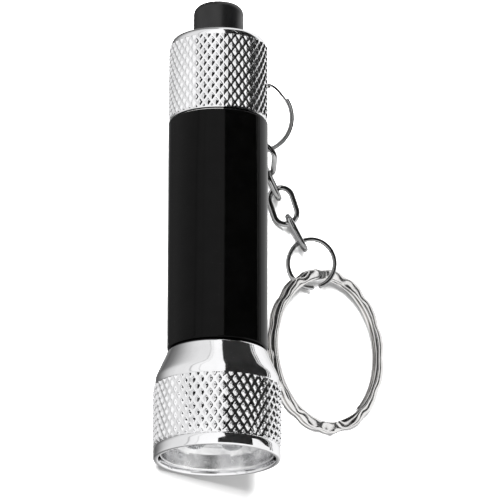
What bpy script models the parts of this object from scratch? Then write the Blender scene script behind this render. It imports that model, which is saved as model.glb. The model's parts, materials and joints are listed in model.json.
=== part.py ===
"""A small keychain torch lying on its side, with its split rings and chain on the floor.

The torch's own parts are turned about the local Z of the empty torch_axis. The distance s runs
along that axis from the head's open rim to the end of the push button. Lengths are in
millimetres and become metres when the meshes are made.
"""
import math

import bmesh
import bpy
from mathutils import Matrix, Vector

MM = 0.001

# Torch outline: s is the distance from the head's rim, R a radius.
TORCH_LENGTH = 70.7
HEAD_R = 9.5
RIM_R = 9.35
RIM_LENGTH = 1.3
HEAD_KNURL_END = 10.8
HEAD_BAND_R = 9.15
HEAD_BAND_END = 12.4
HEAD_END = 16.4
MOUTH_R = 8.57
BODY_R = 7.4
BODY_START = 16.7
BODY_END = 51.9
CAP_R = 7.4
CAP_START = 52.2
CAP_KNURL_END = 63.8
CAP_END = 64.9
CAP_LIP_R = 6.6
BUTTON_R = 3.85
BUTTON_HOLE_R = 3.95
BUTTON_BORE_R = 3.1
BUTTON_FLANGE_R = 4.35

# Inside the torch.
SIDES = 32
THREAD_GAP = 0.1
FRONT_NECK_R = 6.7
FRONT_NECK_START = 11.9
REAR_NECK_R = 6.0
REAR_NECK_END = 57.2
BATTERY_BORE_R = 6.0
BATTERY_BORE_END = 49.8
REAR_BORE_R = 5.0
O_RING_SECTION_R = 0.27
BATTERY_R = 5.8
BATTERY_LENGTH = 5.4
BATTERY_PITCH = 5.7
BATTERY_COUNT = 4
BATTERY_START = 14.0
LED_COUNT = 5
LED_CIRCLE_R = 4.75
LED_R = 2.5
LED_START = 2.6
LED_BASE = 9.9
RECESS_R = 7.0
COVER_BORE_R = 7.03
BOARD_R = 8.2
SWITCH_R = 5.85
SWITCH_NOSE_R = 4.75
PLUNGER_R = 1.2
WASHER_INNER_R = 6.12
WASHER_OUTER_R = 6.88
TAB_THICKNESS = 0.5
TAB_START = 51.6
TAB_TURN = math.radians(28.4)
TAB_HOLE_DISTANCE = 10.9
TAB_HOLE_R = 1.25
TAB_EYE_R = 1.75
CONTACT_GAP = 0.3

# Chain and rings, placed before the whole is centred: X to the torch's side, Y towards the tail.
LINK_LENGTH = 6.7
LINK_WIDTH = 4.5
LINK_WIRE_R = 0.45
SPLIT_RING_R = 5.1
SPLIT_RING_WIRE_R = 0.2
SPLIT_RING_SPREAD = 0.32
SPLIT_RING_PITCH = 0.46
JUMP_RING_R = 3.67
JUMP_RING_WIRE_R = 0.38
JUMP_RING_OPENING = math.radians(9)
KEY_RING_INNER_R = 10.85
KEY_RING_OUTER_R = 12.6
KEY_RING_WAVE = 0.2
KEY_RING_WAVES = 15
KEY_RING_COIL = 0.62
KEY_RING_PITCH = 0.76

# Where the small split ring, the links and the two larger rings lie. Headings and tilts are in degrees;
# a heading is measured from +X towards +Y, and a roll of 0 lays a link flat.
SPLIT_RING_CENTRE = (10.71, 55.80, 5.27)
SPLIT_RING_X = (0.7119, 0.0278, 0.7017)
SPLIT_RING_AXIS = (-0.6751, -0.2484, 0.6947)
SPLIT_RING_START = math.radians(69)
LINKS = (
    ((13.4, 50.12, 4.15), -40.7, -41.1, 86.2),
    ((16.47, 47.51, 2.69), -41.5, -9.4, 39.4),
    ((19.61, 44.51, 2.2), -58.0, -3.0, 132.3),
    ((22.59, 40.9, 2.19), -48.6, -0.1, 48.0),
)
JUMP_RING_CENTRE = (25.77, 36.75, 2.40)
JUMP_RING_TILT = 30.9
JUMP_RING_HEADING = 23.7
JUMP_RING_GAP_AT = -105.0
KEY_RING_CENTRE = (30.23, 24.08, 1.56)
KEY_RING_TILT = 3.8
KEY_RING_HEADING = 117.4
KEY_RING_START = 200.0

# The torch rests on the rear edges of its two knurled bands, which sets its slope and height.
FLAT = math.cos(math.pi / SIDES)
SLOPE = math.atan((HEAD_R - CAP_R) * FLAT / (CAP_KNURL_END - HEAD_KNURL_END))
AXIS_HEIGHT = HEAD_R * FLAT * math.cos(SLOPE) + HEAD_KNURL_END * math.sin(SLOPE)
CENTRE_X = 16.7
CENTRE_Y = 35.15


def clear_scene():
    for thing in list(bpy.data.objects):
        bpy.data.objects.remove(thing, do_unlink=True)


def make_material(name, colour, roughness, metallic):
    material = bpy.data.materials.new(name)
    material.use_nodes = True
    shader = material.node_tree.nodes["Principled BSDF"]
    shader.inputs["Base Color"].default_value = (*colour, 1.0)
    shader.inputs["Roughness"].default_value = roughness
    shader.inputs["Metallic"].default_value = metallic
    material.diffuse_color = (*colour, 1.0)
    return material


def make_empty(name, parent, location, rotation=None):
    """Adds a parent empty at a place given in millimetres."""
    empty = bpy.data.objects.new(name, None)
    bpy.context.scene.collection.objects.link(empty)
    empty.empty_display_size = 0.005
    empty.parent = parent
    turn = rotation.to_4x4() if rotation else Matrix.Identity(4)
    empty.matrix_local = Matrix.Translation(Vector(location) * MM) @ turn
    return empty


def add_object(name, bm, material, parent, matrix=None):
    """Turns a bmesh in millimetres into a smooth-shaded object in metres."""
    bmesh.ops.scale(bm, vec=(MM, MM, MM), verts=bm.verts)
    bmesh.ops.recalc_face_normals(bm, faces=bm.faces)
    mesh = bpy.data.meshes.new(name)
    bm.to_mesh(mesh)
    bm.free()
    mesh.materials.append(material)
    mesh.shade_smooth()
    mesh.set_sharp_from_angle(angle=math.radians(35))
    made = bpy.data.objects.new(name, mesh)
    bpy.context.scene.collection.objects.link(made)
    made.parent = parent
    if matrix:
        made.matrix_local = matrix
    return made


def turned_bmesh(outline, sides=SIDES, centre=(0.0, 0.0)):
    """Revolves an outline of (s, radius) points about Z, a flat facing along +Y and -Y."""
    bm = bmesh.new()
    rings = []
    for s, radius in outline:
        if radius == 0.0:
            rings.append([bm.verts.new((centre[0], centre[1], s))])
            continue
        ring = []
        for i in range(sides):
            angle = 2 * math.pi * (i + 0.5) / sides + math.pi / 2
            x = centre[0] + radius * math.cos(angle)
            y = centre[1] + radius * math.sin(angle)
            ring.append(bm.verts.new((x, y, s)))
        rings.append(ring)
    hollow = outline[0][1] > 0.0
    pairs = list(zip(rings, rings[1:]))
    if hollow:
        pairs.append((rings[-1], rings[0]))
    for first, second in pairs:
        for i in range(sides):
            j = (i + 1) % sides
            if len(first) == 1:
                bm.faces.new((first[0], second[i], second[j]))
            elif len(second) == 1:
                bm.faces.new((first[i], second[0], first[j]))
            else:
                bm.faces.new((first[i], second[i], second[j], first[j]))
    return bm


def turned(name, outline, material, parent, sides=SIDES, centre=(0.0, 0.0)):
    return add_object(name, turned_bmesh(outline, sides, centre), material, parent)


def swept_bmesh(frames, section, closed):
    """Carries a section of (side, up) points along frames of (point, side axis, up axis)."""
    bm = bmesh.new()
    rings = []
    for point, side, up in frames:
        rings.append([bm.verts.new(point + side * a + up * b) for a, b in section])
    pairs = list(zip(rings, rings[1:]))
    if closed:
        pairs.append((rings[-1], rings[0]))
    count = len(section)
    for first, second in pairs:
        for i in range(count):
            j = (i + 1) % count
            bm.faces.new((first[i], second[i], second[j], first[j]))
    if not closed:
        bm.faces.new(rings[0])
        bm.faces.new(list(reversed(rings[-1])))
    return bm


def round_section(radius, sides):
    turns = [2 * math.pi * (i + 0.5) / sides for i in range(sides)]
    return [(radius * math.cos(t), radius * math.sin(t)) for t in turns]


def ring_frame(angle, radius, height=0.0):
    side = Vector((math.cos(angle), math.sin(angle), 0.0))
    return side * radius + Vector((0.0, 0.0, height)), side, Vector((0.0, 0.0, 1.0))


def ease(t):
    t = min(max(t, 0.0), 1.0)
    return t * t * (3.0 - 2.0 * t)


def coil_spring(name, radius_at, start, end, turns, wire_r, material, parent, steps=12):
    """A spring along Z whose mean radius is radius_at(t), t running from 0 to 1."""
    count = int(turns * steps)
    frames = []
    for i in range(count + 1):
        t = i / count
        frames.append(ring_frame(2 * math.pi * turns * t, radius_at(t), start + (end - start) * t))
    return add_object(name, swept_bmesh(frames, round_section(wire_r, 5), False), material, parent)


def split_coil_frames(radius, pitch, start, steps, spread=0.0):
    """Two turns of a split ring: flat coils joined by a short step from one to the other.

    On the ring's local +X side the second turn stands outside the first by spread.
    """
    step_angle = math.radians(30)
    last = 4 * math.pi - step_angle - math.radians(6)
    count = int(steps * last / (2 * math.pi))
    frames = []
    for i in range(count + 1):
        turn = last * i / count
        rise = ease((turn - (2 * math.pi - step_angle)) / step_angle)
        wide = radius + spread * (rise - 0.5) * ease(2.0 * math.cos(start + turn) + 0.2)
        frames.append(ring_frame(start + turn, wide, pitch * (rise - 0.5)))
    return frames


def place_matrix(centre, x_axis, z_axis):
    """A placing matrix from a centre in millimetres, a local X direction and a local Z direction."""
    x = Vector(x_axis).normalized()
    z = Vector(z_axis)
    z = (z - x * z.dot(x)).normalized()
    y = z.cross(x)
    turn = Matrix((x, y, z)).transposed()
    return Matrix.Translation(Vector(centre) * MM) @ turn.to_4x4()


def cut(body, cutter):
    """Cuts one object out of another and removes the cutter."""
    boolean = body.modifiers.new("cut", "BOOLEAN")
    boolean.operation = "DIFFERENCE"
    boolean.object = cutter
    bpy.context.view_layer.update()
    graph = bpy.context.evaluated_depsgraph_get()
    mesh = bpy.data.meshes.new_from_object(body.evaluated_get(graph), depsgraph=graph)
    body.modifiers.clear()
    body.data = mesh
    bpy.data.objects.remove(cutter, do_unlink=True)


def make_head(materials, parent):
    cone = [(12.6, 9.05), (13.4, 8.75), (16.2, 7.32)]
    outline = [
        (0.0, 8.75), (0.0, 9.05), (0.12, 9.2), (0.45, RIM_R), (RIM_LENGTH - 0.15, RIM_R),
        (RIM_LENGTH, HEAD_R), (HEAD_KNURL_END, HEAD_R), (HEAD_KNURL_END + 0.2, HEAD_BAND_R),
        (HEAD_BAND_END, HEAD_BAND_R),
        *cone, (HEAD_END, 7.25),
        (HEAD_END, COVER_BORE_R), (14.4, COVER_BORE_R), (14.4, FRONT_NECK_R + THREAD_GAP),
        (11.7, FRONT_NECK_R + THREAD_GAP), (11.7, MOUTH_R), (0.3, MOUTH_R),
    ]
    turned("head_shell", outline, materials["polished"], parent)


def make_led_module(materials, parent):
    """The reflector with its lamps on their board: it moves along with the head but doesn't turn."""
    outer = MOUTH_R - 0.17
    reflector = turned("reflector", [
        (4.1, 0.0), (4.1, 7.0), (3.7, 7.5), (2.9, 7.9), (0.7, 8.15), (0.7, outer),
        (10.0, outer), (10.0, outer - 0.6), (6.4, outer - 0.6), (6.4, 0.0),
    ], materials["mirror"], parent)
    for index in range(LED_COUNT):
        angle = 2 * math.pi * index / LED_COUNT + math.pi / 2
        centre = (LED_CIRCLE_R * math.cos(angle), LED_CIRCLE_R * math.sin(angle))
        hole = turned("led_hole", [(3.0, 0.0), (3.0, 2.85), (7.0, 2.72), (7.0, 0.0)],
                      materials["mirror"], parent, 16, centre)
        cut(reflector, hole)
        dome = [(LED_START + LED_R * (1 - math.cos(t)), LED_R * math.sin(t))
                for t in (math.pi / 2 * k / 3 for k in range(1, 4))]
        turned(f"led_{index + 1}", [
            (LED_START, 0.0), *dome, (LED_BASE - 1.0, LED_R), (LED_BASE - 1.0, 2.72),
            (LED_BASE, 2.72), (LED_BASE, 0.0),
        ], materials["lamp"], parent, 12, centre)
    turned("led_board", [(10.3, 0.0), (10.3, BOARD_R), (11.4, BOARD_R), (11.4, 0.0)],
           materials["board"], parent)
    coil_spring("front_spring", lambda t: 3.6 - 1.6 * t, 11.95, 13.55, 2.5, 0.22,
                materials["spring"], parent)


def make_o_ring(name, s, radius, materials, parent):
    frames = [ring_frame(2 * math.pi * (i + 0.5) / SIDES + math.pi / 2, radius, s)
              for i in range(SIDES)]
    section = round_section(O_RING_SECTION_R, 6)
    return add_object(name, swept_bmesh(frames, section, True), materials["rubber"], parent)


def make_barrel(materials, parent):
    groove = 0.3
    rear_groove = CAP_START + 0.4
    barrel = turned("barrel", [
        (FRONT_NECK_START, FRONT_NECK_R), (14.6, FRONT_NECK_R), (14.6, FRONT_NECK_R - groove),
        (15.5, FRONT_NECK_R - groove), (15.5, FRONT_NECK_R), (BODY_START, FRONT_NECK_R),
        (BODY_START, BODY_R - 0.15), (BODY_START + 0.15, BODY_R),
        (BODY_END - 0.15, BODY_R), (BODY_END, BODY_R - 0.1), (BODY_END, RECESS_R),
        (TAB_START - CONTACT_GAP, RECESS_R), (TAB_START - CONTACT_GAP, REAR_NECK_R),
        (rear_groove, REAR_NECK_R), (rear_groove, REAR_NECK_R - groove),
        (rear_groove + 0.9, REAR_NECK_R - groove), (rear_groove + 0.9, REAR_NECK_R),
        (REAR_NECK_END, REAR_NECK_R),
        (REAR_NECK_END, REAR_BORE_R), (BATTERY_BORE_END, REAR_BORE_R),
        (BATTERY_BORE_END, BATTERY_BORE_R), (FRONT_NECK_START, BATTERY_BORE_R),
    ], materials["black_gloss"], parent)
    notch = bmesh.new()
    bmesh.ops.create_cube(notch, size=1.0)
    bmesh.ops.scale(notch, vec=(3.0, 2 * TAB_EYE_R + 0.6, 2.0), verts=notch.verts)
    bmesh.ops.translate(notch, vec=(BODY_R + 0.7, 0.0, 0.0), verts=notch.verts)
    turn = Matrix.Rotation(TAB_TURN, 4, "Z")
    place = turn @ Matrix.Translation(Vector((0.0, 0.0, TAB_START - CONTACT_GAP + 1.0)) * MM)
    cut(barrel, add_object("notch_cutter", notch, materials["black_gloss"], parent, place))


def make_keyring_tab(materials, parent):
    """A stamped washer round the barrel's rear neck, with an eye that stands out of a notch."""
    bm = bmesh.new()
    side = TAB_EYE_R
    spread = math.asin(side / WASHER_OUTER_R)
    steps = 28
    outline = []
    for i in range(steps + 1):
        angle = spread + (2 * math.pi - 2 * spread) * i / steps
        outline.append((WASHER_OUTER_R * math.cos(angle), WASHER_OUTER_R * math.sin(angle)))
    for i in range(9):
        angle = -math.pi / 2 + math.pi * i / 8
        outline.append((TAB_HOLE_DISTANCE + side * math.cos(angle), side * math.sin(angle)))
    holes = []
    neck_hole = ((0.0, 0.0), WASHER_INNER_R, SIDES)
    eye_hole = ((TAB_HOLE_DISTANCE, 0.0), TAB_HOLE_R, 12)
    for centre, radius, count in (neck_hole, eye_hole):
        holes.append([(centre[0] + radius * math.cos(2 * math.pi * i / count),
                       centre[1] + radius * math.sin(2 * math.pi * i / count))
                      for i in range(count)])
    edges = []
    for loop in (outline, *holes):
        verts = [bm.verts.new((x, y, TAB_START)) for x, y in loop]
        edges += [bm.edges.new((verts[i], verts[(i + 1) % len(verts)])) for i in range(len(verts))]
    bmesh.ops.triangle_fill(bm, use_beauty=True, use_dissolve=False, edges=edges)
    made = bmesh.ops.extrude_face_region(bm, geom=list(bm.faces))
    raised = [v for v in made["geom"] if isinstance(v, bmesh.types.BMVert)]
    bmesh.ops.translate(bm, vec=(0.0, 0.0, TAB_THICKNESS), verts=raised)
    turn = Matrix.Rotation(TAB_TURN, 4, "Z")
    add_object("keyring_tab", bm, materials["nickel"], parent, turn)


def make_batteries(materials, parent):
    for index in range(BATTERY_COUNT):
        start = BATTERY_START + BATTERY_PITCH * index
        end = start + BATTERY_LENGTH
        turned(f"battery_{index + 1}", [
            (start, 0.0), (start, BATTERY_R - 0.3), (start + 0.3, BATTERY_R),
            (end - 0.7, BATTERY_R), (end - 0.7, BATTERY_R - 0.7), (end, BATTERY_R - 0.9), (end, 0.0),
        ], materials["steel"], parent, 20)
    end = BATTERY_START + BATTERY_PITCH * BATTERY_COUNT - 0.5
    turned("battery_wrap", [
        (BATTERY_START, 5.84), (BATTERY_START, 5.94), (end, 5.94), (end, 5.84),
    ], materials["film"], parent)


def make_tail_cap(materials, parent):
    turned("tail_cap", [
        (CAP_START, CAP_R - 0.2), (CAP_START + 0.2, CAP_R), (CAP_KNURL_END, CAP_R),
        (CAP_KNURL_END + 0.3, 7.15), (CAP_END - 0.3, 6.95), (CAP_END, CAP_LIP_R),
        (CAP_END, BUTTON_HOLE_R), (CAP_END - 1.4, BUTTON_HOLE_R), (CAP_END - 1.4, REAR_NECK_R + THREAD_GAP),
        (CAP_START + 1.7, REAR_NECK_R + THREAD_GAP), (CAP_START + 1.7, 6.36), (CAP_START, 6.36),
    ], materials["polished"], parent)


def make_switch(materials, parent):
    """The switch body moves along with the tail cap and stays still while the cap turns."""
    top = CAP_END - 1.8
    floor = CAP_END - 5.3
    turned("switch_body", [
        (46.5, 1.4), (46.5, SWITCH_NOSE_R), (REAR_NECK_END + 0.4, SWITCH_NOSE_R),
        (REAR_NECK_END + 0.4, SWITCH_R), (top, SWITCH_R), (top, 4.7), (floor, 4.7), (floor, 1.4),
    ], materials["grey_plastic"], parent, 24)
    turned("contact_pin", [
        (45.7, 0.0), (45.7, 3.6), (46.2, 3.6), (46.2, 1.15), (floor - 0.9, 1.15), (floor - 0.9, 0.0),
    ], materials["brass"], parent, 12)
    coil_spring("tail_spring", lambda t: 3.9 - 0.9 * t, 45.1, 37.3, 4.5, 0.3,
                materials["spring"], parent)
    coil_spring("button_spring", lambda t: 2.3, floor + 0.5, floor + 5.4, 4.0, 0.2,
                materials["spring"], parent, 10)


def make_button(materials, parent):
    """The button is a hollow cap whose flange is held behind the tail cap's end wall."""
    corner = 1.5
    corner_arc = [(TORCH_LENGTH - 0.25 - corner * (1 - math.sin(t)),
                   BUTTON_R - corner * (1 - math.cos(t)))
                  for t in (math.pi / 2 * k / 3 for k in range(3, -1, -1))]
    flange = CAP_END - 2.8
    roof = CAP_END + 3.0
    turned("button", [
        (TORCH_LENGTH, 0.0), (TORCH_LENGTH - 0.1, 1.2), *corner_arc,
        (flange + 0.8, BUTTON_R), (flange + 0.8, BUTTON_FLANGE_R), (flange, BUTTON_FLANGE_R),
        (flange, BUTTON_BORE_R), (roof, BUTTON_BORE_R), (roof, 0.0),
    ], materials["black_satin"], parent, 24)
    stem_end = CAP_END - 4.4
    turned("switch_plunger", [
        (roof - 0.3, 0.0), (roof - 0.3, 1.9), (roof - 0.8, 1.9), (roof - 0.8, PLUNGER_R),
        (stem_end, PLUNGER_R), (stem_end, 0.0),
    ], materials["grey_plastic"], parent, 12)


def make_small_split_ring(materials, parent):
    frames = split_coil_frames(SPLIT_RING_R, SPLIT_RING_PITCH, SPLIT_RING_START, 22,
                               SPLIT_RING_SPREAD)
    section = round_section(SPLIT_RING_WIRE_R, 6)
    place = place_matrix(SPLIT_RING_CENTRE, SPLIT_RING_X, SPLIT_RING_AXIS)
    bm = swept_bmesh(frames, section, False)
    add_object("small_split_ring", bm, materials["nickel"], parent, place)


def link_bmesh():
    """An oval link in the local XY plane, long along X."""
    straight = (LINK_LENGTH - LINK_WIDTH) / 2
    radius = LINK_WIDTH / 2 - LINK_WIRE_R
    frames = []
    for end, first in ((1, -math.pi / 2), (-1, math.pi / 2)):
        for i in range(9):
            point, side, up = ring_frame(first + math.pi * i / 8, radius)
            frames.append((point + Vector((end * straight, 0.0, 0.0)), side, up))
    return swept_bmesh(frames, round_section(LINK_WIRE_R, 6), True)


def make_chain(materials, parent):
    for index, (centre, heading, climb, roll) in enumerate(LINKS):
        yaw, pitch, turn = (math.radians(a) for a in (heading, climb, roll))
        along = Vector((math.cos(yaw) * math.cos(pitch), math.sin(yaw) * math.cos(pitch),
                        math.sin(pitch)))
        level = along.cross(Vector((0.0, 0.0, 1.0))).normalized()
        wide = level * math.cos(turn) + level.cross(along) * math.sin(turn)
        place = place_matrix(centre, along, along.cross(wide))
        add_object(f"chain_link_{index + 1}", link_bmesh(), materials["nickel"], parent, place)


def tilted_ring_matrix(centre, tilt, rise_heading):
    """Places a ring in the local XY plane so that its local +X side is raised."""
    yaw, rise = math.radians(rise_heading), math.radians(tilt)
    x = Vector((math.cos(yaw) * math.cos(rise), math.sin(yaw) * math.cos(rise), math.sin(rise)))
    y = Vector((-math.sin(yaw), math.cos(yaw), 0.0))
    return place_matrix(centre, x, x.cross(y))


def make_jump_ring(materials, parent):
    steps = 24
    start = math.radians(JUMP_RING_GAP_AT) + JUMP_RING_OPENING / 2
    span = 2 * math.pi - JUMP_RING_OPENING
    frames = [ring_frame(start + span * i / steps, JUMP_RING_R) for i in range(steps + 1)]
    place = tilted_ring_matrix(JUMP_RING_CENTRE, JUMP_RING_TILT, JUMP_RING_HEADING)
    bm = swept_bmesh(frames, round_section(JUMP_RING_WIRE_R, 8), False)
    add_object("jump_ring", bm, materials["nickel"], parent, place)


def make_key_ring(materials, parent):
    """A split ring of two flat coils whose outer edge is waved."""
    bm = bmesh.new()
    rings = []
    start = math.radians(KEY_RING_START)
    for centre, side, up in split_coil_frames(1.0, KEY_RING_PITCH, start, 60):
        level = centre.dot(up)
        angle = math.atan2(side.y, side.x)
        wave = KEY_RING_WAVE * (0.5 - 0.5 * math.cos(KEY_RING_WAVES * angle)) ** 2
        outer = KEY_RING_OUTER_R - wave
        inner = KEY_RING_INNER_R
        half = KEY_RING_COIL / 2
        corners = ((inner, -half), (outer, -half), (outer, half), (inner, half))
        rings.append([bm.verts.new(side * r + up * (level + z)) for r, z in corners])
    for first, second in zip(rings, rings[1:]):
        for i in range(4):
            j = (i + 1) % 4
            bm.faces.new((first[i], second[i], second[j], first[j]))
    bm.faces.new(rings[0])
    bm.faces.new(list(reversed(rings[-1])))
    place = tilted_ring_matrix(KEY_RING_CENTRE, KEY_RING_TILT, KEY_RING_HEADING)
    add_object("key_ring", bm, materials["nickel"], parent, place)


def make_materials():
    table = {
        "polished": ((0.80, 0.80, 0.81), 0.12, 1.0),
        "mirror": ((0.90, 0.90, 0.90), 0.05, 1.0),
        "nickel": ((0.72, 0.71, 0.70), 0.15, 1.0),
        "steel": ((0.62, 0.62, 0.63), 0.30, 1.0),
        "spring": ((0.60, 0.59, 0.57), 0.30, 1.0),
        "brass": ((0.80, 0.60, 0.25), 0.25, 1.0),
        "black_gloss": ((0.01, 0.01, 0.01), 0.12, 0.0),
        "black_satin": ((0.015, 0.015, 0.015), 0.35, 0.0),
        "grey_plastic": ((0.25, 0.25, 0.26), 0.50, 0.0),
        "lamp": ((0.92, 0.93, 0.95), 0.08, 0.0),
        "board": ((0.02, 0.20, 0.08), 0.45, 0.0),
        "film": ((0.75, 0.75, 0.70), 0.40, 0.0),
        "rubber": ((0.02, 0.02, 0.02), 0.70, 0.0),
    }
    return {name: make_material(name, *values) for name, values in table.items()}


def main():
    clear_scene()
    materials = make_materials()
    floor = make_empty("floor", None, (-CENTRE_X, -CENTRE_Y, 0.0))
    lean = Matrix.Rotation(-math.pi / 2 - SLOPE, 3, "X")
    torch = make_empty("torch_axis", floor, (0.0, 0.0, AXIS_HEIGHT), lean)
    make_head(materials, torch)
    make_led_module(materials, torch)
    make_o_ring("front_o_ring", 15.05, FRONT_NECK_R, materials, torch)
    make_barrel(materials, torch)
    make_batteries(materials, torch)
    make_o_ring("rear_o_ring", CAP_START + 0.85, REAR_NECK_R, materials, torch)
    make_keyring_tab(materials, torch)
    make_tail_cap(materials, torch)
    make_switch(materials, torch)
    make_button(materials, torch)
    make_small_split_ring(materials, floor)
    make_chain(materials, floor)
    make_jump_ring(materials, floor)
    make_key_ring(materials, floor)
    bpy.context.view_layer.update()


main()
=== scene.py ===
import json
import math

import bmesh
import bpy
import numpy as np
from mathutils import Matrix, Vector


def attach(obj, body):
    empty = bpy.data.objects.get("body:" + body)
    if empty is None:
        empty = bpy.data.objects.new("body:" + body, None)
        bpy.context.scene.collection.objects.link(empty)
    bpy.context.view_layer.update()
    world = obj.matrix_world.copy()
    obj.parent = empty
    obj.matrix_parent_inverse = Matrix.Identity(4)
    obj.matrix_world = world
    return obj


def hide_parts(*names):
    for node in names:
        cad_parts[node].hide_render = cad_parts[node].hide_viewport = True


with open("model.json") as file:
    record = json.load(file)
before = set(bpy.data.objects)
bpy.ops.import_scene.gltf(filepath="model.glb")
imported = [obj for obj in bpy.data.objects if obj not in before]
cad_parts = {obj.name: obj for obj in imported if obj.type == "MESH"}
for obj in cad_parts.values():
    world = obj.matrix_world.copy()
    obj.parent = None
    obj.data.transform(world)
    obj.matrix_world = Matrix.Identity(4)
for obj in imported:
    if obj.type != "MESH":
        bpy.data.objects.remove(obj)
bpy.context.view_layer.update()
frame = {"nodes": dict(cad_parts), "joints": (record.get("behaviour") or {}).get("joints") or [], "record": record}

MM = 0.001
TAU = 2 * math.pi


# ---- the torch's own frame: s runs along its axis from the rim plane to the button's end ----

def torch_frame():
    """The matrix from (x, y, s) in millimetres about the torch's axis to the row frame."""
    turn = next(j for j in frame["joints"] if j["name"] == "head_turn")
    rim = next(m for m in frame["record"]["mounts"] if m["name"] == "head_rim_face")
    outward = Vector(turn["axis"]).normalized()
    on_axis = Vector(turn["pos_m"])
    start = on_axis + outward * (Vector(rim["pos_m"]) - on_axis).dot(outward)
    s_axis = -outward
    x_axis = Vector((1.0, 0.0, 0.0))
    y_axis = s_axis.cross(x_axis).normalized()
    turned = Matrix((x_axis, y_axis, s_axis)).transposed().to_4x4()
    return Matrix.Translation(start) @ turned @ Matrix.Scale(MM, 4)


TORCH = torch_frame()

# The camera: its directions in the row frame, and its distance, the width of its picture at that
# distance and its aim from the rim's centre in metres.
CAMERA_BACK = Vector((-0.6715, -0.2680, 0.6909)).normalized()
CAMERA_RIGHT = Vector((0.7115, 0.0297, 0.7020))
CAMERA_DISTANCE = 0.85
FRAME_WIDTH = 0.0732
AIM_RIGHT = 0.00482
AIM_UP = 0.03078

# Stations along the torch's axis and radii, in millimetres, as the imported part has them.
TORCH_LENGTH = 70.7
HEAD_R = 9.5
HEAD_END = 16.4
MOUTH_R = 8.58
BODY_R = 7.4
BODY_START = 16.7
BODY_END = 51.9
BODY_BORE_START = 11.9
BODY_BORE_R = 6.0
BODY_BORE_END = 49.8
BARREL_TAIL = 57.2
RECESS_FLOOR = 51.3
RECESS_INNER_R = 6.9
TAB_TURN = math.radians(28.4)
NOTCH_HALF_WIDTH = 2.05
CAP_R = 7.4
CAP_START = 52.2
CAP_KNURL_END = 63.8
CAP_END = 64.9
CAP_FLOOR = 63.5
BUTTON_R = 3.75
FLANGE_R = 4.35
REFLECTOR_R = 8.4
REFLECTOR_BACK = 9.9

# Knurls: (diamonds round the rim, length of one along the axis, depth, ground share, tip share).
HEAD_KNURL = (46, 2.0, 0.34, 0.36, 0.14)
CAP_KNURL = (38, 1.75, 0.28, 0.24, 0.16)
HEAD_KNURL_START = 1.9

# Threads: the pitch and depth of both.
THREAD_PITCH = 0.75
THREAD_DEPTH = 0.16

# Lamps: how many, the circle their centres lie on, their dome and flange, and the cup round each.
LAMPS = 5
LAMP_CIRCLE = 4.75
LAMP_R = 2.5
LAMP_FLANGE_R = 2.72
LAMP_TOP = 2.6
CUP_R = 2.95

# Split rings, in millimetres and radians: how far a strand's step to the next coil reaches, and
# the part of a turn left open between the ends.
STEP_ANGLE = math.radians(30)
END_GAP = math.radians(6)
SMALL_RING_WIRE_R = 0.19
SMALL_RING_PITCH = 0.46
SMALL_RING_SPREAD = 0.32
KEY_RING_WAVES = 15
KEY_RING_WAVE_DEPTH = 0.28
KEY_RING_WAVE_THINNING = 0.2
KEY_RING_COIL_SHARE = 0.45
KEY_RING_SECTION_POINTS = 16
KEY_RING_ROUNDNESS = 0.75


# ---- meshes ----

def new_object(name, verts, faces, slot, body, nodes=(), smooth=35.0):
    """Makes a piece from points already in metres in the row frame, and lets it ride on a body."""
    mesh = bpy.data.meshes.new(name)
    mesh.from_pydata([tuple(v) for v in verts], [], faces)
    mesh.validate()
    bm = bmesh.new()
    bm.from_mesh(mesh)
    bmesh.ops.recalc_face_normals(bm, faces=bm.faces)
    bm.to_mesh(mesh)
    bm.free()
    mesh.shade_smooth()
    mesh.set_sharp_from_angle(angle=math.radians(smooth))
    # Thin nickel wires away from the key ring take a darker copy of the nickel: painted shade standing in for the
    # dark reflections in their wire.
    thin_wire = slot == "nickel" and body != "key_ring"
    slot_or_shaded_copy = "painted_shade_nickel" if thin_wire else slot
    mesh.materials.append(MATERIALS[slot_or_shaded_copy])
    made = bpy.data.objects.new(name, mesh)
    bpy.context.scene.collection.objects.link(made)
    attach(made, body)
    if nodes:
        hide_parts(*nodes)
    return made


def grid_faces(rows, columns, close_rows):
    """Quads of a grid that wraps round its columns, and round its rows if close_rows."""
    faces = []
    for i in range(rows if close_rows else rows - 1):
        a, b = i * columns, ((i + 1) % rows) * columns
        for j in range(columns):
            k = (j + 1) % columns
            faces.append((a + j, b + j, b + k, a + k))
    return faces


def capped_faces(rows, columns):
    """Quads of an open grid with a cap on its first and its last row."""
    faces = grid_faces(rows, columns, False)
    faces.append(tuple(range(columns)))
    faces.append(tuple(range((rows - 1) * columns, rows * columns))[::-1])
    return faces


def lathe_points(outline, columns, relief=None, centre=(0.0, 0.0)):
    """Points of an outline of (s, radius) carried round the axis.

    In a row of (s, radius, True), relief(s, angle) adds to the radius.
    """
    angle = np.arange(columns) * TAU / columns
    points = []
    for row in outline:
        s, radius = row[0], row[1]
        rim = np.full(columns, radius)
        if relief is not None and len(row) > 2:
            rim = rim + relief(s, angle)
        points.append(np.stack([centre[0] + rim * np.cos(angle),
                                centre[1] + rim * np.sin(angle),
                                np.full(columns, s)], axis=1))
    return np.concatenate(points)


def to_row(points):
    """Points in the torch's own frame, as points in the row frame."""
    m = np.array(TORCH)
    return points @ m[:3, :3].T + m[:3, 3]


def lathe(name, outline, columns, slot, body, nodes=(), relief=None, closed=True,
          centre=(0.0, 0.0), smooth=35.0, reshape=None):
    """A turned piece; a closed outline makes a hollow one, an open one is capped at both ends."""
    points = lathe_points(outline, columns, relief, centre)
    if reshape is not None:
        reshape(points)
    rows = len(outline)
    faces = grid_faces(rows, columns, True) if closed else capped_faces(rows, columns)
    return new_object(name, to_row(points), faces, slot, body, nodes, smooth)


def arc(centre_s, centre_r, radius, start, end, steps):
    """Outline points on an arc; angles in degrees, 0 along +s and 90 along +radius."""
    turns = np.radians(np.linspace(start, end, steps + 1))
    return [(centre_s + radius * math.cos(t), centre_r + radius * math.sin(t)) for t in turns]


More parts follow.
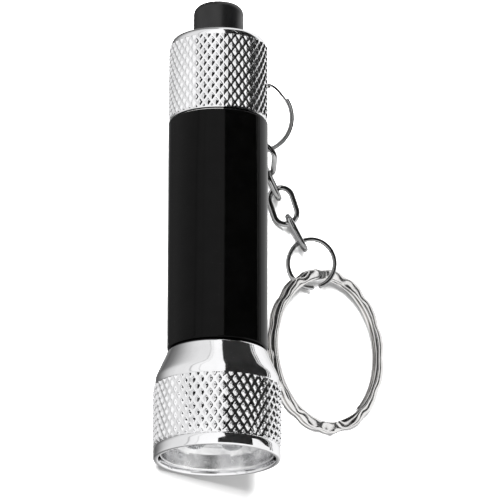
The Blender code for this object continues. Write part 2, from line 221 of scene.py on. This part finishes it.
def steps_between(start, end, count):
    return [start + (end - start) * i / count for i in range(count + 1)]


def smoothstep(x):
    x = np.clip(x, 0.0, 1.0)
    return x * x * (3 - 2 * x)


# ---- materials ----

def shader_material(name, colour, metallic, roughness, **sockets):
    material = bpy.data.materials.new(name)
    material.use_nodes = True
    shader = material.node_tree.nodes["Principled BSDF"]
    shader.inputs["Base Color"].default_value = (*colour, 1.0)
    shader.inputs["Metallic"].default_value = metallic
    shader.inputs["Roughness"].default_value = roughness
    for socket, value in sockets.items():
        shader.inputs[socket.replace("_", " ")].default_value = value
    return material


def object_noise(material, scale, detail):
    """A noise texture in object space; returns its value's output."""
    tree = material.node_tree
    place = tree.nodes.new("ShaderNodeTexCoord")
    noise = tree.nodes.new("ShaderNodeTexNoise")
    noise.inputs["Scale"].default_value = scale
    noise.inputs["Detail"].default_value = detail
    tree.links.new(place.outputs["Object"], noise.inputs["Vector"])
    return noise.outputs["Fac"]


def vary_by_noise(material, scale, socket, low, high):
    """Drives a number socket with noise in object space, between low and high."""
    tree = material.node_tree
    spread = tree.nodes.new("ShaderNodeMapRange")
    spread.inputs["From Min"].default_value = 0.3
    spread.inputs["From Max"].default_value = 0.7
    spread.inputs["To Min"].default_value = low
    spread.inputs["To Max"].default_value = high
    tree.links.new(object_noise(material, scale, 4.0), spread.inputs["Value"])
    tree.links.new(spread.outputs["Result"], tree.nodes["Principled BSDF"].inputs[socket])


def tint_by_noise(material, scale, dark, light):
    """Varies the base colour between two colours with noise in object space."""
    tree = material.node_tree
    ramp = tree.nodes.new("ShaderNodeValToRGB")
    for stop, where, colour in zip(ramp.color_ramp.elements, (0.35, 0.65), (dark, light)):
        stop.position = where
        stop.color = (*colour, 1.0)
    tree.links.new(object_noise(material, scale, 5.0), ramp.inputs["Fac"])
    tree.links.new(ramp.outputs["Color"], tree.nodes["Principled BSDF"].inputs["Base Color"])


def bump_by_noise(material, scale, strength, distance):
    """Roughens the surface with bumps of noise in object space."""
    tree = material.node_tree
    bump = tree.nodes.new("ShaderNodeBump")
    bump.inputs["Strength"].default_value = strength
    bump.inputs["Distance"].default_value = distance
    tree.links.new(object_noise(material, scale, 3.0), bump.inputs["Height"])
    tree.links.new(bump.outputs["Normal"], tree.nodes["Principled BSDF"].inputs["Normal"])


def metal(name, light, dark, roughness_low, roughness_high, bump=0.04):
    """Bare metal whose colour, roughness and surface vary a little from place to place."""
    made = shader_material(name, light, 1.0, roughness_low)
    tint_by_noise(made, 240.0, dark, light)
    vary_by_noise(made, 900.0, "Roughness", roughness_low, roughness_high)
    bump_by_noise(made, 500.0, bump, 0.04 * MM)
    return made


def plastic(name, light, dark, roughness_low, roughness_high, bump_scale, bump):
    """Plastic, lacquer or rubber, varied in the same way."""
    made = shader_material(name, light, 0.0, roughness_low)
    tint_by_noise(made, 400.0, dark, light)
    vary_by_noise(made, 700.0, "Roughness", roughness_low, roughness_high)
    bump_by_noise(made, bump_scale, bump, 0.03 * MM)
    return made


def make_materials():
    made = {
        "polished": metal("polished_chrome", (0.93, 0.93, 0.94), (0.86, 0.86, 0.87), 0.035, 0.09),
        "mirror": metal("reflector_chrome", (0.93, 0.93, 0.93), (0.60, 0.60, 0.61), 0.12, 0.30,
                        bump=0.45),
        "nickel": metal("nickel_wire", (0.86, 0.85, 0.84), (0.74, 0.73, 0.72), 0.06, 0.14),
        # A darker copy of the nickel for the chain links, jump ring and small ring: painted shade for the dark
        # reflections in their thin wire, not a different metal.
        "painted_shade_nickel": metal("painted_shade_nickel_wire", (0.52, 0.52, 0.52), (0.34, 0.34, 0.34), 0.03, 0.08),
        "steel": metal("cell_steel", (0.70, 0.70, 0.71), (0.60, 0.60, 0.61), 0.22, 0.38),
        "spring": metal("spring_steel", (0.72, 0.71, 0.69), (0.60, 0.59, 0.57), 0.18, 0.30),
        "brass": metal("contact_brass", (0.85, 0.66, 0.32), (0.74, 0.54, 0.22), 0.18, 0.32),
        "black_gloss": plastic("black_lacquer", (0.0002, 0.0002, 0.0002), (0.0001, 0.0001, 0.0001),
                               0.07, 0.12, 260.0, 0.03),
        "black_satin": plastic("black_button", (0.0012, 0.0012, 0.0013), (0.0006, 0.0006, 0.0006),
                               0.28, 0.38, 2600.0, 0.10),
        "grey_plastic": plastic("switch_plastic", (0.22, 0.22, 0.23), (0.18, 0.18, 0.19),
                                0.42, 0.55, 1800.0, 0.12),
        "board": plastic("board_green", (0.03, 0.24, 0.10), (0.02, 0.17, 0.07),
                         0.35, 0.48, 900.0, 0.08),
        "film": plastic("cell_film", (0.78, 0.77, 0.70), (0.68, 0.67, 0.60),
                        0.30, 0.45, 600.0, 0.15),
        "rubber": plastic("seal_rubber", (0.022, 0.022, 0.022), (0.015, 0.015, 0.015),
                          0.60, 0.75, 2200.0, 0.18),
    }
    gloss = made["black_gloss"].node_tree.nodes["Principled BSDF"]
    gloss.inputs["Specular IOR Level"].default_value = 0.11
    lamp = shader_material("lamp_clear", (0.97, 0.98, 1.0), 0.0, 0.03,
                           Transmission_Weight=0.9, IOR=1.5)
    vary_by_noise(lamp, 500.0, "Roughness", 0.02, 0.06)
    tint_by_noise(lamp, 300.0, (0.93, 0.95, 0.98), (0.98, 0.99, 1.0))
    made["lamp"] = lamp
    return made


MATERIALS = make_materials()

for part in frame["record"]["subparts"]:
    node = frame["nodes"][part["node"]]
    node.data.materials.clear()
    node.data.materials.append(MATERIALS[part["material_slot"]])


# ---- knurling ----

def knurl(pattern, start):
    """A diamond knurl: pyramids on a smooth ground, as a relief below the crest radius.

    The ground and tip shares are the parts of a pyramid's half-width left flat between the
    pyramids and on top of them.
    """
    count, length, depth, ground, tip = pattern

    def relief(s, angle):
        around = count * angle / TAU
        along = (s - start) / length
        a = around + along
        b = around - along
        off = np.maximum(np.abs(a - np.round(a)), np.abs(b - np.round(b))) * 2
        height = np.clip((1 - off - ground) / (1 - tip - ground), 0.0, 1.0)
        return depth * (height - 1)
    return relief


def knurl_rows(start, end, per_row, radius):
    """Outline rows close enough together to carry a knurl."""
    count = round((end - start) / per_row)
    return [(s, radius, True) for s in steps_between(start, end, count)]


# ---- head ----

def make_head():
    """The turned head: rolled lip, knurled band, cone, and the bore behind the mouth."""
    relief = knurl(HEAD_KNURL, HEAD_KNURL_START)
    rows = knurl_rows(2.05, 10.85, 0.11, HEAD_R)
    outline = [
        (0.0, 8.95), *arc(0.3, 9.05, 0.3, 170, 95, 5), (0.6, 9.36), (1.2, 9.37), (1.66, 9.35),
        (1.76, 9.26), (1.84, 9.21), (1.96, 9.20),
        *rows,
        (10.92, 9.20), (10.98, 9.18), (11.05, 9.15), (11.15, 9.14), (11.45, 9.15),
        (12.0, 9.14), (12.3, 9.10), (12.55, 9.02), (12.9, 8.88), (13.6, 8.57), (14.6, 8.11),
        (15.5, 7.68), (16.1, 7.42), (16.28, 7.34), (16.38, 7.25), (HEAD_END, 7.2),
        (HEAD_END, 7.05), (14.4, 7.03), (14.38, 6.82), (11.75, 6.82), (11.7, 6.9), (11.7, 8.57),
        (8.0, MOUTH_R), (3.0, MOUTH_R), (1.0, 8.59), (0.3, 8.61), (0.1, 8.66), (0.02, 8.75),
    ]
    return lathe("head_body", outline, 720, "polished", "head", ("head_shell",),
                 relief, smooth=50.0)


# ---- reflector and lamps ----

def lamp_centres():
    """Where the lamps stand about the axis, the first one uppermost."""
    turns = [TAU * i / LAMPS + math.pi / 2 for i in range(LAMPS)]
    return [(LAMP_CIRCLE * math.cos(t), LAMP_CIRCLE * math.sin(t)) for t in turns]


def reflector_depth(x, y):
    """How deep the reflector's face lies at a place: a shallow dish with a cup round each lamp."""
    r = np.hypot(x, y)
    depth = 3.75 - 0.85 * smoothstep((r - 7.0) / 0.9)
    for centre_x, centre_y in lamp_centres():
        d = np.hypot(x - centre_x, y - centre_y)
        cup = 5.4 - 1.9 * (d / CUP_R) ** 2
        depth = np.maximum(depth, np.where(d < CUP_R * 1.2, cup, 0.0))
    return depth


def make_reflector():
    """The bright bowl: its face with the lamp cups, the wall up to the rim, and a plain back."""
    face_r = 7.9
    columns = 300
    angle = np.arange(columns) * TAU / columns
    rows = []
    for r in np.linspace(0.05, face_r, 90):
        x, y = r * np.cos(angle), r * np.sin(angle)
        rows.append(np.stack([x, y, reflector_depth(x, y)], axis=1))
    wall = [
        (2.6, 7.96), (1.6, 8.06), (0.9, 8.13), (0.72, 8.17), (0.66, 8.24), (0.7, 8.33),
        (0.85, REFLECTOR_R),
    ]
    back = [(REFLECTOR_BACK, REFLECTOR_R), (REFLECTOR_BACK, 7.9), (7.0, 7.8), (6.6, 0.05)]
    rows.append(lathe_points([*wall, *back], columns))
    points = np.concatenate(rows)
    faces = grid_faces(len(points) // columns, columns, True)
    return new_object("reflector_bowl", to_row(points), faces, "mirror", "led_module",
                      ("reflector",), 40.0)


def make_lamps():
    dome = arc(LAMP_TOP + LAMP_R, 0.0, LAMP_R, 179, 90, 14)
    flange = [(8.7, LAMP_R), (8.75, LAMP_FLANGE_R), (9.85, LAMP_FLANGE_R), (9.9, 2.6)]
    for number, centre in enumerate(lamp_centres(), 1):
        lathe(f"lamp_{number}", [*dome, *flange], 48, "lamp", "led_module", (f"led_{number}",),
              closed=False, centre=centre)


# ---- barrel ----

def thread_relief(s, angle):
    """A V thread below its crest radius."""
    phase = s / THREAD_PITCH - angle / TAU
    return THREAD_DEPTH * (np.abs(phase - np.floor(phase) - 0.5) * 2 - 1)


def cut_notch(points):
    """Lowers the barrel's rear rim to the recess floor where the key ring tab passes through it."""
    around = np.arctan2(points[:, 1], points[:, 0]) - TAB_TURN
    near = np.abs((around + math.pi) % TAU - math.pi) < math.asin(NOTCH_HALF_WIDTH / BODY_R)
    wide = np.hypot(points[:, 0], points[:, 1]) > RECESS_INNER_R
    rim = wide & (points[:, 2] > RECESS_FLOOR)
    points[near & rim, 2] = RECESS_FLOOR


def make_barrel():
    """The lacquered tube with a threaded neck, a seal groove and a bore at each end."""
    front = [(s, 6.7, True) for s in steps_between(12.1, 14.4, 22)]
    rear = [(s, 6.0, True) for s in steps_between(53.7, 56.9, 30)]
    front_edge = 0.3
    rear_edge = 0.2
    outline = [
        (BODY_BORE_START, 6.4), *front, (14.5, 6.6), (14.62, 6.4), (15.48, 6.4), (15.55, 6.66),
        (16.6, 6.68), (BODY_START, 6.75), (BODY_START, BODY_R - front_edge),
        *arc(BODY_START + front_edge, BODY_R - front_edge, front_edge, 165, 90, 5),
        (30.0, BODY_R), (40.0, BODY_R),
        *arc(BODY_END - rear_edge, BODY_R - rear_edge, rear_edge, 90, 0, 4),
        (BODY_END, 7.05), (RECESS_FLOOR, 7.0), (RECESS_FLOOR, 6.02), (52.6, 6.0), (52.65, 5.7),
        (53.45, 5.7), (53.5, 5.98), *rear, (57.1, 5.8), (BARREL_TAIL, 5.6), (BARREL_TAIL, 5.02),
        (BODY_BORE_END, 5.0), (BODY_BORE_END, BODY_BORE_R), (BODY_BORE_START, BODY_BORE_R),
    ]
    return lathe("barrel_tube", outline, 288, "black_gloss", "barrel", ("barrel",),
                 thread_relief, smooth=40.0, reshape=cut_notch)


# ---- tail cap and button ----

def make_tail_cap():
    """The knurled cap with a rounded end round the button, and its bore."""
    relief = knurl(CAP_KNURL, CAP_START)
    rows = knurl_rows(CAP_START + 0.3, CAP_KNURL_END - 0.12, 0.1, CAP_R)
    outline = [
        (CAP_START, 7.0), (CAP_START + 0.02, 7.06), (CAP_START + 0.1, 7.1),
        (CAP_START + 0.22, 7.1), *rows,
        (63.74, 7.12), (63.86, 7.12), (64.05, 7.11), (64.3, 7.06), (64.6, 6.9), (64.8, 6.72),
        (64.89, 6.55), (CAP_END, 6.3), (CAP_END, 4.05), (64.82, 3.96), (CAP_FLOOR, 3.95),
        (CAP_FLOOR, 6.12), (53.9, 6.14), (53.9, 6.38), (52.3, 6.38), (CAP_START, 6.5),
    ]
    return lathe("tail_cap_body", outline, 608, "polished", "tail_cap", ("tail_cap",),
                 relief, smooth=50.0)


def make_button():
    """The push button: a slightly domed end, a flange inside the cap, and a bore for its spring."""
    corner = 1.45
    rise = 0.3
    top = TORCH_LENGTH - rise
    flat_r = 2.25
    bore_r = 3.1
    dome = [(top + rise * (1 - (r / flat_r) ** 2), r) for r in (0.05, 0.6, 1.2, 1.8)]
    outline = [
        *dome, *arc(top - corner, BUTTON_R - corner, corner, 0, 90, 9),
        (63.0, BUTTON_R), (62.9, 3.8), (62.9, 4.3), (62.85, FLANGE_R), (62.15, FLANGE_R),
        (62.1, 4.3), (62.1, 3.2), (62.15, bore_r), (67.9, bore_r), (67.9, 0.05),
    ]
    return lathe("push_button", outline, 96, "black_satin", "button", ("button",),
                 smooth=40.0)


# ---- rings and chain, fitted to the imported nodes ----

def node_points(name):
    return np.array([v.co for v in frame["nodes"][name].data.vertices], float)


def flat_axes(points):
    """Centre and axes of a flat ring-like node: longest direction first, its normal last."""
    middle = points.mean(0)
    _, _, axes = np.linalg.svd(points - middle)
    if np.linalg.det(axes) < 0:
        axes[2] = -axes[2]
    return middle, axes


def ring_fit(name):
    """Centre, axes and mean radius in metres of a round ring, and where its widest gap lies."""
    points = node_points(name)
    middle, axes = flat_axes(points)
    if axes[2][2] < 0:
        axes[1], axes[2] = -axes[1], -axes[2]
    flat = (points - middle) @ axes.T
    system = np.column_stack([2 * flat[:, 0], 2 * flat[:, 1], np.ones(len(flat))])
    solved = np.linalg.lstsq(system, flat[:, 0] ** 2 + flat[:, 1] ** 2, rcond=None)[0]
    centre = middle + solved[0] * axes[0] + solved[1] * axes[1]
    radius = math.sqrt(solved[2] + solved[0] ** 2 + solved[1] ** 2)
    turns = np.sort(np.arctan2(flat[:, 1] - solved[1], flat[:, 0] - solved[0]))
    gaps = np.diff(np.append(turns, turns[0] + TAU))
    widest = int(gaps.argmax())
    return centre, axes, radius, turns[widest], gaps[widest]


def sweep(name, centres, sides, ups, section, closed, body):
    """Carries a section of (side, up) points along a path of wire; open ends are rounded."""
    section = np.array(section)
    total = len(centres)
    ahead = np.gradient(centres, axis=0)
    ahead /= np.linalg.norm(ahead, axis=1)[:, None]
    ends = [] if closed else [(0.92, 0.35), (0.7, 0.62), (0.35, 0.78)]
    reach = np.abs(section).max() * 0.5

    def row(i, scale, push):
        offset = sides[i] * (section[:, :1] * scale) + ups[i] * (section[:, 1:] * scale)
        return centres[i] + ahead[i] * push + offset

    rows = [row(0, scale, -push * reach) for scale, push in reversed(ends)]
    rows += [row(i, 1.0, 0.0) for i in range(total)]
    rows += [row(total - 1, scale, push * reach) for scale, push in ends]
    if closed:
        faces = grid_faces(len(rows), len(section), True)
    else:
        faces = capped_faces(len(rows), len(section))
    return new_object(name, np.concatenate(rows), faces, "nickel", body, (body,), 60.0)


def circle_section(radius, sides):
    return [(radius * math.cos(TAU * i / sides), radius * math.sin(TAU * i / sides))
            for i in range(sides)]


def wire_radius(name, centre, axes):
    """Half the radial width of a round ring's wire."""
    flat = (node_points(name) - centre) @ axes.T
    reach = np.hypot(flat[:, 0], flat[:, 1])
    return (reach.max() - reach.min()) / 2


def make_link(index):
    """An oval chain link: two half circles joined by straight sides."""
    name = f"chain_link_{index}"
    middle, axes = flat_axes(node_points(name))
    flat = (node_points(name) - middle) @ axes.T
    half_long, half_wide, half_thick = (flat.max(0) - flat.min(0)) / 2
    wire = half_thick * 0.96
    bend = half_wide - wire
    straight = half_long - half_wide
    centres, sides = [], []
    for end, turned in ((1, 0), (-1, math.pi)):
        for t in np.linspace(-math.pi / 2, math.pi / 2, 25) + turned:
            side = math.cos(t) * axes[0] + math.sin(t) * axes[1]
            centres.append(middle + end * straight * axes[0] + side * bend)
            sides.append(side)
    ups = [axes[2]] * len(centres)
    sweep(f"{name}_wire", np.array(centres), sides, ups, circle_section(wire, 20), True, name)


def make_jump_ring():
    """The open round ring between the chain and the key ring."""
    name = "jump_ring"
    centre, axes, radius, gap_at, gap = ring_fit(name)
    wire = wire_radius(name, centre, axes)
    end_rounding = 0.02
    turns = np.linspace(gap_at + gap + end_rounding, gap_at + TAU - end_rounding, 150)
    sides = np.cos(turns)[:, None] * axes[0] + np.sin(turns)[:, None] * axes[1]
    ups = [axes[2]] * len(turns)
    sweep("jump_ring_wire", centre + sides * radius, sides, ups, circle_section(wire, 24), False,
          name)


def split_path(centre, axes, radius, pitch, start, count):
    """Two flat turns joined by a step: centres, sides, ups and turns along the strand."""
    last = 2 * TAU - STEP_ANGLE - END_GAP
    centres, sides, ups, turns = [], [], [], []
    for t in np.linspace(0, last, count):
        rise = smoothstep((t - (TAU - STEP_ANGLE)) / STEP_ANGLE)
        side = math.cos(start + t) * axes[0] + math.sin(start + t) * axes[1]
        centres.append(centre + side * radius + axes[2] * pitch * (rise - 0.5))
        sides.append(side)
        ups.append(axes[2])
        turns.append(start + t)
    return np.array(centres), np.array(sides), ups, turns


def split_start(name, centre, axes):
    """The angle at which the lower coil of a split ring starts: its lower strand's end."""
    flat = (node_points(name) - centre) @ axes.T
    level = flat[:, 2]
    low = flat[level < level.min() + 0.15 * (level.max() - level.min())]
    turns = np.sort(np.arctan2(low[:, 1], low[:, 0]))
    gaps = np.diff(np.append(turns, turns[0] + TAU))
    widest = int(gaps.argmax())
    return turns[widest] + gaps[widest]


def make_small_split_ring():
    """A thin split ring whose upper coil stands a little outside the lower one on one side."""
    name = "small_split_ring"
    centre, axes, radius, _, _ = ring_fit(name)
    pitch = SMALL_RING_PITCH * MM
    start = split_start(name, centre, axes)
    centres, sides, ups, _ = split_path(centre, axes, radius, pitch, start, 320)
    level = ((centres - centre) @ axes[2]) / pitch
    apart = smoothstep(2 * sides @ np.array(CAMERA_RIGHT) + 0.2)
    centres += sides * (SMALL_RING_SPREAD * MM * level * apart)[:, None]
    section = circle_section(SMALL_RING_WIRE_R * MM, 16)
    sweep("small_split_ring_wire", centres, sides, ups, section, False, name)


def bent_power(value):
    """Squares a circle's sine or cosine off towards a rounded box."""
    return math.copysign(abs(value) ** KEY_RING_ROUNDNESS, value)


def make_key_ring():
    """The key ring: two flat coils whose outer edge is waved, and thinner in each wave's hollow."""
    name = "key_ring"
    centre, axes, _, _, _ = ring_fit(name)
    flat = (node_points(name) - centre) @ axes.T
    reach = np.hypot(flat[:, 0], flat[:, 1])
    inner, outer = reach.min(), reach.max()
    height = flat[:, 2].max() - flat[:, 2].min()
    coil = height * KEY_RING_COIL_SHARE
    start = split_start(name, centre, axes)
    strand = split_path(centre, axes, 0.0, height - coil, start, 720)
    count = KEY_RING_SECTION_POINTS
    corners = [TAU * (k + 0.5) / count for k in range(count)]
    points = []
    for middle, side, up, turn in zip(*strand):
        wave = (0.5 - 0.5 * math.cos(KEY_RING_WAVES * turn)) ** 2
        reach_out = outer - KEY_RING_WAVE_DEPTH * MM * wave
        mid = (inner + reach_out) / 2
        half_wide = (reach_out - inner) / 2
        half_high = coil / 2 * (1 - KEY_RING_WAVE_THINNING * wave)
        for t in corners:
            x = bent_power(math.cos(t)) * half_wide
            z = bent_power(math.sin(t)) * half_high
            points.append(middle + side * (mid + x) + up * z)
    faces = capped_faces(len(points) // count, count)
    new_object("key_ring_coil", np.array(points), faces, "nickel", name, (name,), 60.0)


# ---- floor, light and camera ----

def make_stage_object(name, mesh, material):
    """Adds a mesh of the studio, which isn't part of the object."""
    mesh.materials.append(material)
    made = bpy.data.objects.new(name, mesh)
    bpy.context.scene.collection.objects.link(made)
    return made


def make_floor():
    mesh = bpy.data.meshes.new("floor")
    bm = bmesh.new()
    bmesh.ops.create_grid(bm, x_segments=2, y_segments=2, size=1.6)
    bm.to_mesh(mesh)
    bm.free()
    material = shader_material("floor_white", (0.50, 0.50, 0.50), 0.0, 0.65,
                               Specular_IOR_Level=0.15)
    floor = make_stage_object("floor", mesh, material)
    floor.visible_glossy = False


def make_camera():
    """The camera, and its right and back directions and its target."""
    right = (CAMERA_RIGHT - CAMERA_BACK * CAMERA_RIGHT.dot(CAMERA_BACK)).normalized()
    up = CAMERA_BACK.cross(right)
    rim = TORCH @ Vector((0.0, 0.0, 0.0))
    target = rim + right * AIM_RIGHT + up * AIM_UP
    data = bpy.data.cameras.new("camera")
    data.sensor_width = 36.0
    data.lens = 36.0 * CAMERA_DISTANCE / FRAME_WIDTH
    data.clip_start = 0.01
    data.clip_end = 20.0
    camera = bpy.data.objects.new("camera", data)
    bpy.context.scene.collection.objects.link(camera)
    turned = Matrix((right, up, CAMERA_BACK)).transposed().to_4x4()
    camera.matrix_world = Matrix.Translation(target + CAMERA_BACK * CAMERA_DISTANCE) @ turned
    bpy.context.scene.camera = camera
    return right, CAMERA_BACK, target


def make_softbox(place, target, size, power):
    """A square soft light over the torch that shows in no reflection."""
    data = bpy.data.lights.new("softbox", "AREA")
    data.shape = "SQUARE"
    data.size = size
    data.energy = power
    light = bpy.data.objects.new("softbox", data)
    bpy.context.scene.collection.objects.link(light)
    aim = (target - Vector(place)).normalized()
    turned = aim.to_track_quat("-Z", "Y").to_matrix().to_4x4()
    light.matrix_world = Matrix.Translation(Vector(place)) @ turned
    light.visible_glossy = False


# The studio round the object, as bands of brightness by angle in the plane of the camera's back and
# right directions: 0 is behind the camera, positive turns towards the right of the picture.
STUDIO_BANDS = (
    (-180, 0.40), (-150, 0.12), (-135, 0.22), (-127, 0.34), (-114, 0.58), (-104, 0.72),
    (-90, 0.84), (-70, 0.86), (-60, 0.88), (-57, 0.45), (-54, 0.95), (-39, 1.0), (-37.5, 0.60),
    (-36, 1.05), (3, 1.10), (100, 1.02), (140, 1.05), (165, 0.80), (180, 0.45),
)
STUDIO_STRENGTH = 2.0

# Dark flags hung over the torch: (x0, x1, y0, y1) in millimetres from the rim's centre.
FLAG_HEIGHT = 45.0
FLAGS = (
    (-22.0, 53.0, 12.0, 84.0), (-33.0, 9.0, -10.0, 12.0), (-22.0, -1.0, 84.0, 170.0),
    (0.2, 53.0, 84.0, 170.0), (58.0, 68.0, -20.0, 110.0), (80.0, 92.0, -20.0, 110.0),
)


def make_flags():
    """Dark cards that only show as reflections in the bright metal and the gloss."""
    material = shader_material("flag_black", (0.004, 0.004, 0.004), 0.0, 0.9)
    rim = TORCH @ Vector((0.0, 0.0, 0.0))
    for index, (x0, x1, y0, y1) in enumerate(FLAGS):
        corners = ((x0, y0), (x1, y0), (x1, y1), (x0, y1))
        points = [(rim.x + x * MM, rim.y + y * MM, FLAG_HEIGHT * MM) for x, y in corners]
        mesh = bpy.data.meshes.new(f"flag_{index}")
        mesh.from_pydata(points, [], [(0, 1, 2, 3)])
        flag = make_stage_object(f"flag_{index}", mesh, material)
        flag.visible_camera = False
        flag.visible_diffuse = False
        flag.visible_shadow = False
        flag.visible_transmission = False


def make_world(right, back):
    """Light from all round, in the bands of STUDIO_BANDS."""
    world = bpy.data.worlds.new("studio")
    world.use_nodes = True
    tree = world.node_tree
    place = tree.nodes.new("ShaderNodeTexCoord")
    parts = []
    for axis in (right, back):
        dot = tree.nodes.new("ShaderNodeVectorMath")
        dot.operation = "DOT_PRODUCT"
        dot.inputs[1].default_value = axis
        tree.links.new(place.outputs["Generated"], dot.inputs[0])
        parts.append(dot.outputs["Value"])
    turn = tree.nodes.new("ShaderNodeMath")
    turn.operation = "ARCTAN2"
    tree.links.new(parts[0], turn.inputs[0])
    tree.links.new(parts[1], turn.inputs[1])
    spread = tree.nodes.new("ShaderNodeMapRange")
    spread.inputs["From Min"].default_value = -math.pi
    spread.inputs["From Max"].default_value = math.pi
    ramp = tree.nodes.new("ShaderNodeValToRGB")
    stops = ramp.color_ramp.elements
    stops.remove(stops[1])
    for index, (degrees, bright) in enumerate(STUDIO_BANDS):
        where = (degrees + 180) / 360
        stop = stops[0] if index == 0 else stops.new(where)
        stop.position = where
        level = bright / STUDIO_STRENGTH
        stop.color = (level, level, level, 1.0)
    shade = tree.nodes["Background"]
    shade.inputs["Strength"].default_value = STUDIO_STRENGTH
    tree.links.new(turn.outputs["Value"], spread.inputs["Value"])
    tree.links.new(spread.outputs["Result"], ramp.inputs["Fac"])
    tree.links.new(ramp.outputs["Color"], shade.inputs["Color"])
    bpy.context.scene.world = world
    bpy.context.scene.view_settings.view_transform = "Standard"


make_head()
make_reflector()
make_lamps()
make_barrel()
make_tail_cap()
make_button()
make_small_split_ring()
for link_index in range(1, 5):
    make_link(link_index)
make_jump_ring()
make_key_ring()

make_floor()
make_flags()
camera_right, camera_back, camera_target = make_camera()
make_world(camera_right, camera_back)
make_softbox((-0.62, 0.17, 0.68), camera_target, 0.42, 88.0)
